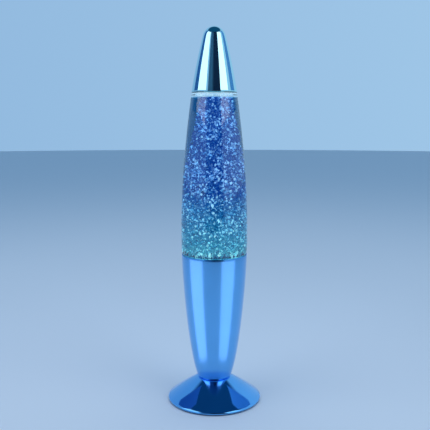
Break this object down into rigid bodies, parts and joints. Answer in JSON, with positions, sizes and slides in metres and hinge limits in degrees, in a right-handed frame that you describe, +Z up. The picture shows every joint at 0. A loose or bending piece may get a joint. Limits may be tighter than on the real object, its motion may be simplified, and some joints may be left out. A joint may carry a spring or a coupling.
{
  "type": "glitter lamp",
  "caption": "Tapered bottle of blue glitter fluid on a polished spun base with a flared foot, under a bullet-shaped metal cap; bottle and cap lift off, bulb unscrews.",
  "frame": {"origin": "on the table plane under the centre of the foot, where the lamp's axis meets it", "axes": "+Z up along the lamp's axis; +Y towards the back, where the cord gland is; +X to the right"},
  "size_m": [0.0888, 0.0888, 0.35],
  "materials": {
    "cap_metal": "polished",
    "cone_metal": "polished, blue-tinted",
    "foot_metal": "polished, blue-tinted",
    "bottle_glass": "clear, smooth",
    "liquid": "clear blue fluid",
    "glitter": "bright foil",
    "crown_tinplate": "tin plated",
    "crown_liner_plastic": "soft liner",
    "seat_rubber": "matte",
    "holder_phenolic": "moulded, semi-gloss",
    "brass": "rolled",
    "spring_steel": "drawn wire",
    "vulcanised_fibre": "pressed sheet",
    "zinc_steel": "zinc plated",
    "tinned_copper": "tinned",
    "bulb_envelope": "thin blown glass",
    "bulb_cap_metal": "rolled thread",
    "black_glass": "cast black glass",
    "solder": "soft solder",
    "stem_glass": "pressed glass",
    "nickel_wire": "drawn",
    "tungsten": "coiled wire",
    "cover_plastic": "fine moulded grain",
    "pad_rubber": "matte",
    "gland_plastic": "moulded",
    "clamp_nylon": "natural nylon",
    "block_nylon": "natural nylon",
    "pvc_brown": "extruded sleeve",
    "pvc_blue": "extruded sleeve",
    "pvc_green": "extruded sleeve"
  },
  "bodies": {
    "base": {"base_foot": "foot_metal", "base_cone": "cone_metal", "bottle_seat_ring": "seat_rubber", "holder_body": "holder_phenolic", "holder_sleeve": "brass", "holder_terminals": "brass", "contact_spring": "spring_steel", "fibre_washer": "vulcanised_fibre", "holder_nipple": "zinc_steel", "toothed_washer": "zinc_steel", "nipple_nut": "zinc_steel", "earth_tag": "tinned_copper", "cover_strap": "zinc_steel", "bottom_cover": "cover_plastic", "cover_screws": "zinc_steel", "rubber_feet": "pad_rubber", "cord_gland": "gland_plastic", "cord_clamp": "clamp_nylon", "clamp_screws": "zinc_steel", "terminal_block": "block_nylon", "terminal_screws": "brass", "live_lead": "pvc_brown", "neutral_lead": "pvc_blue", "earth_lead": "pvc_green"},
    "bottle": {"glass_bottle": "bottle_glass", "liquid_fill": "liquid", "glitter_flakes": "glitter", "crown_cap": "crown_tinplate", "crown_liner": "crown_liner_plastic"},
    "cap": {"top_cap": "cap_metal"},
    "contact": {"contact_plunger": "brass"},
    "bulb": {"bulb_glass": "bulb_envelope", "bulb_screw_cap": "bulb_cap_metal", "bulb_insulator": "black_glass", "bulb_contact": "solder", "bulb_stem": "stem_glass", "bulb_posts": "nickel_wire", "bulb_filament": "tungsten"}
  },
  "joints": [
    {"name": "bottle_lift", "type": "slide", "parent": "base", "child": "bottle", "axis": [0, 0, 1], "range_m": [0, 0.06]},
    {"name": "cap_lift", "type": "slide", "parent": "bottle", "child": "cap", "axis": [0, 0, 1], "range_m": [0, 0.06]},
    {"name": "contact_rise", "type": "slide", "parent": "base", "child": "contact", "axis": [0, 0, 1], "range_m": [0, 0.0019], "deforming": ["contact_spring"]},
    {"name": "bulb_turn", "type": "hinge", "parent": "contact", "child": "bulb", "pos_m": [0, 0, 0.041], "axis": [0, 0, 1], "range_deg": [0, 242]}
  ],
  "couplings": [
    {"joint": "contact_rise", "follows": "bulb_turn", "m_per_rad": 0.00044882}
  ]
}
